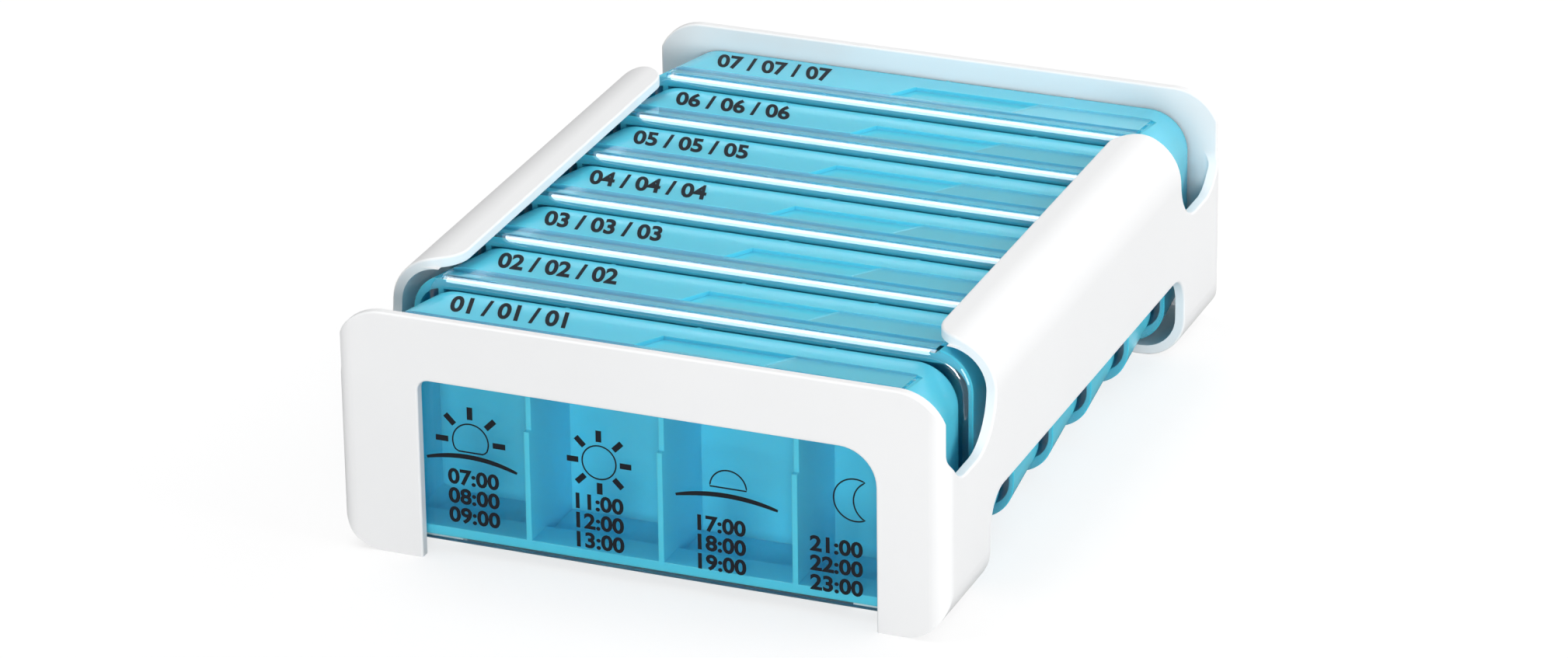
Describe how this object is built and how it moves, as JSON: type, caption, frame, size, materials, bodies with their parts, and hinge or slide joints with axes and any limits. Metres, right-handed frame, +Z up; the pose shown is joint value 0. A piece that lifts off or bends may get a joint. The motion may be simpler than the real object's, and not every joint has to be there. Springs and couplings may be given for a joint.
{
  "type": "weekly pill organizer",
  "caption": "Weekly pill organizer: a moulded frame that holds a row of day boxes, each with compartments behind a clear sliding cover.",
  "frame": {"origin": "middle of the footprint, on the surface that the frame stands on", "axes": "+X along the boxes to the right, +Y from the front window to the back panel, +Z up"},
  "size_m": [0.1344, 0.1744, 0.0542],
  "materials": {
    "white_plastic": "moulded, satin",
    "blue_plastic": "moulded, smooth, slightly see-through",
    "clear_plastic": "clear, polished"
  },
  "bodies": {
    "frame": {"frame": "white_plastic"},
    "box_monday": {"tray_monday": "blue_plastic"},
    "lid_monday": {"lid_monday": "clear_plastic"},
    "box_tuesday": {"tray_tuesday": "blue_plastic"},
    "lid_tuesday": {"lid_tuesday": "clear_plastic"},
    "box_wednesday": {"tray_wednesday": "blue_plastic"},
    "lid_wednesday": {"lid_wednesday": "clear_plastic"},
    "box_thursday": {"tray_thursday": "blue_plastic"},
    "lid_thursday": {"lid_thursday": "clear_plastic"},
    "box_friday": {"tray_friday": "blue_plastic"},
    "lid_friday": {"lid_friday": "clear_plastic"},
    "box_saturday": {"tray_saturday": "blue_plastic"},
    "lid_saturday": {"lid_saturday": "clear_plastic"},
    "box_sunday": {"tray_sunday": "blue_plastic"},
    "lid_sunday": {"lid_sunday": "clear_plastic"}
  },
  "joints": [
    {"name": "lift_monday", "type": "slide", "parent": "frame", "child": "box_monday", "axis": [0, 0, 1], "range_m": [0, 0.06]},
    {"name": "slide_lid_monday", "type": "slide", "parent": "box_monday", "child": "lid_monday", "axis": [-1, 0, 0], "range_m": [0, 0.0042]},
    {"name": "shift_tuesday", "type": "slide", "parent": "frame", "child": "box_tuesday", "axis": [0, 1, 0], "range_m": [-0.0002, 0.0002]},
    {"name": "slide_lid_tuesday", "type": "slide", "parent": "box_tuesday", "child": "lid_tuesday", "axis": [-1, 0, 0], "range_m": [0, 0.0042]},
    {"name": "shift_wednesday", "type": "slide", "parent": "frame", "child": "box_wednesday", "axis": [0, 1, 0], "range_m": [-0.0002, 0.0002]},
    {"name": "slide_lid_wednesday", "type": "slide", "parent": "box_wednesday", "child": "lid_wednesday", "axis": [-1, 0, 0], "range_m": [0, 0.0042]},
    {"name": "shift_thursday", "type": "slide", "parent": "frame", "child": "box_thursday", "axis": [0, 1, 0], "range_m": [-0.0002, 0.0002]},
    {"name": "slide_lid_thursday", "type": "slide", "parent": "box_thursday", "child": "lid_thursday", "axis": [-1, 0, 0], "range_m": [0, 0.0042]},
    {"name": "shift_friday", "type": "slide", "parent": "frame", "child": "box_friday", "axis": [0, 1, 0], "range_m": [-0.0002, 0.0002]},
    {"name": "slide_lid_friday", "type": "slide", "parent": "box_friday", "child": "lid_friday", "axis": [-1, 0, 0], "range_m": [0, 0.0042]},
    {"name": "shift_saturday", "type": "slide", "parent": "frame", "child": "box_saturday", "axis": [0, 1, 0], "range_m": [-0.0002, 0.0002]},
    {"name": "slide_lid_saturday", "type": "slide", "parent": "box_saturday", "child": "lid_saturday", "axis": [-1, 0, 0], "range_m": [0, 0.0042]},
    {"name": "lift_sunday", "type": "slide", "parent": "frame", "child": "box_sunday", "axis": [0, 0, 1], "range_m": [0, 0.06]},
    {"name": "slide_lid_sunday", "type": "slide", "parent": "box_sunday", "child": "lid_sunday", "axis": [-1, 0, 0], "range_m": [0, 0.0042]}
  ]
}
